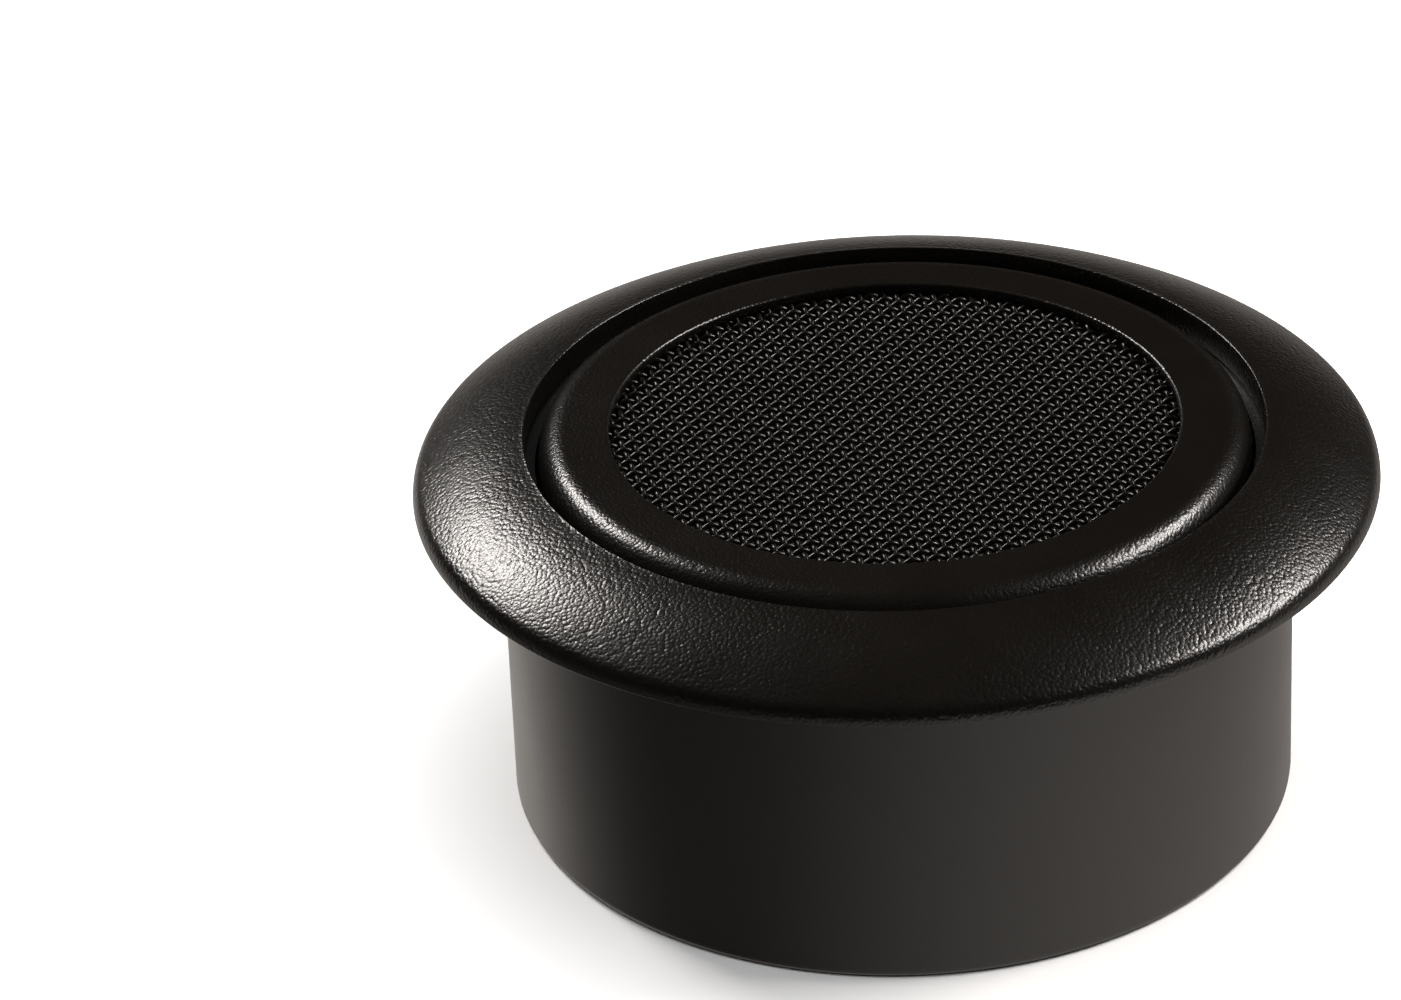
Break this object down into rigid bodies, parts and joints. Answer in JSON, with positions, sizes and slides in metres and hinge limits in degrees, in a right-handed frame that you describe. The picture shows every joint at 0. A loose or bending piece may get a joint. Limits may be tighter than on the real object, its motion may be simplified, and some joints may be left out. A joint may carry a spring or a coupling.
{
  "type": "car tweeter",
  "caption": "Flush-mount dome tweeter: a round cup with a domed trim flange, and a mesh-fronted capsule that aims by turning and tilting inside it.",
  "frame": {"origin": "centre of the cup's flat base, where the tweeter's axis meets it", "axes": "+Z is the tweeter's axis, out of the grille. +X is the capsule's tilt axis. +Y points to the side the cable outlet is on, away from the viewer."},
  "size_m": [0.054, 0.054, 0.0226],
  "materials": {
    "flange_plastic": "fine sandblast grain, near-black",
    "cup_plastic": "smooth satin, warm dark grey",
    "bezel_plastic": "fine grain, satin black",
    "inner_plastic": "moulded, satin black",
    "mesh_metal": "woven wire, semi-gloss black paint",
    "steel": "zinc plated",
    "magnet_metal": "nickel plated",
    "brass": "turned and stamped",
    "copper": "enamelled copper",
    "former_metal": "thin foil",
    "silk": "coated silk",
    "felt": "pressed wool felt",
    "foam": "closed-cell foam",
    "rubber": "matt black",
    "board": "phenolic board, tan",
    "capacitor_sleeve": "shrink sleeve, dark blue"
  },
  "bodies": {
    "housing": {"mounting_cup": "cup_plastic", "trim_flange": "flange_plastic", "panel_gasket": "foam", "friction_washer": "rubber", "cable_grommet": "rubber", "strap_insert": "brass", "highpass_capacitor": "capacitor_sleeve"},
    "swivel": {"swivel_ring": "inner_plastic", "pivot_pins": "steel"},
    "capsule": {"capsule_bezel": "bezel_plastic", "capsule_shell": "inner_plastic", "grille_mesh": "mesh_metal", "grille_retainer": "inner_plastic", "waveguide_ring": "inner_plastic", "rear_cover": "inner_plastic", "yoke": "steel", "magnet": "magnet_metal", "pole_plate": "steel", "dome_damping_pad": "felt", "motor_chassis": "inner_plastic", "surround": "silk", "diaphragm_clamp": "inner_plastic", "terminal_board": "board", "positive_terminal": "brass", "negative_terminal": "brass", "motor_screw": "steel", "lead_out_wires": "copper"},
    "diaphragm": {"dome": "silk", "voice_coil_former": "former_metal", "voice_coil_winding": "copper"}
  },
  "joints": [
    {"name": "swivel_turn", "type": "hinge", "parent": "housing", "child": "swivel", "pos_m": [0, 0, 0.0183], "axis": [0, 0, 1], "range_deg": [-180, 180]},
    {"name": "capsule_tilt", "type": "hinge", "parent": "swivel", "child": "capsule", "pos_m": [0, 0, 0.0183], "axis": [1, 0, 0], "range_deg": [-12, 12]},
    {"name": "diaphragm_travel", "type": "slide", "parent": "capsule", "child": "diaphragm", "axis": [0, 0, 1], "range_m": [-0.0004, 0.0004], "stiffness_N_per_m": 50, "deforming": ["surround"]}
  ]
}
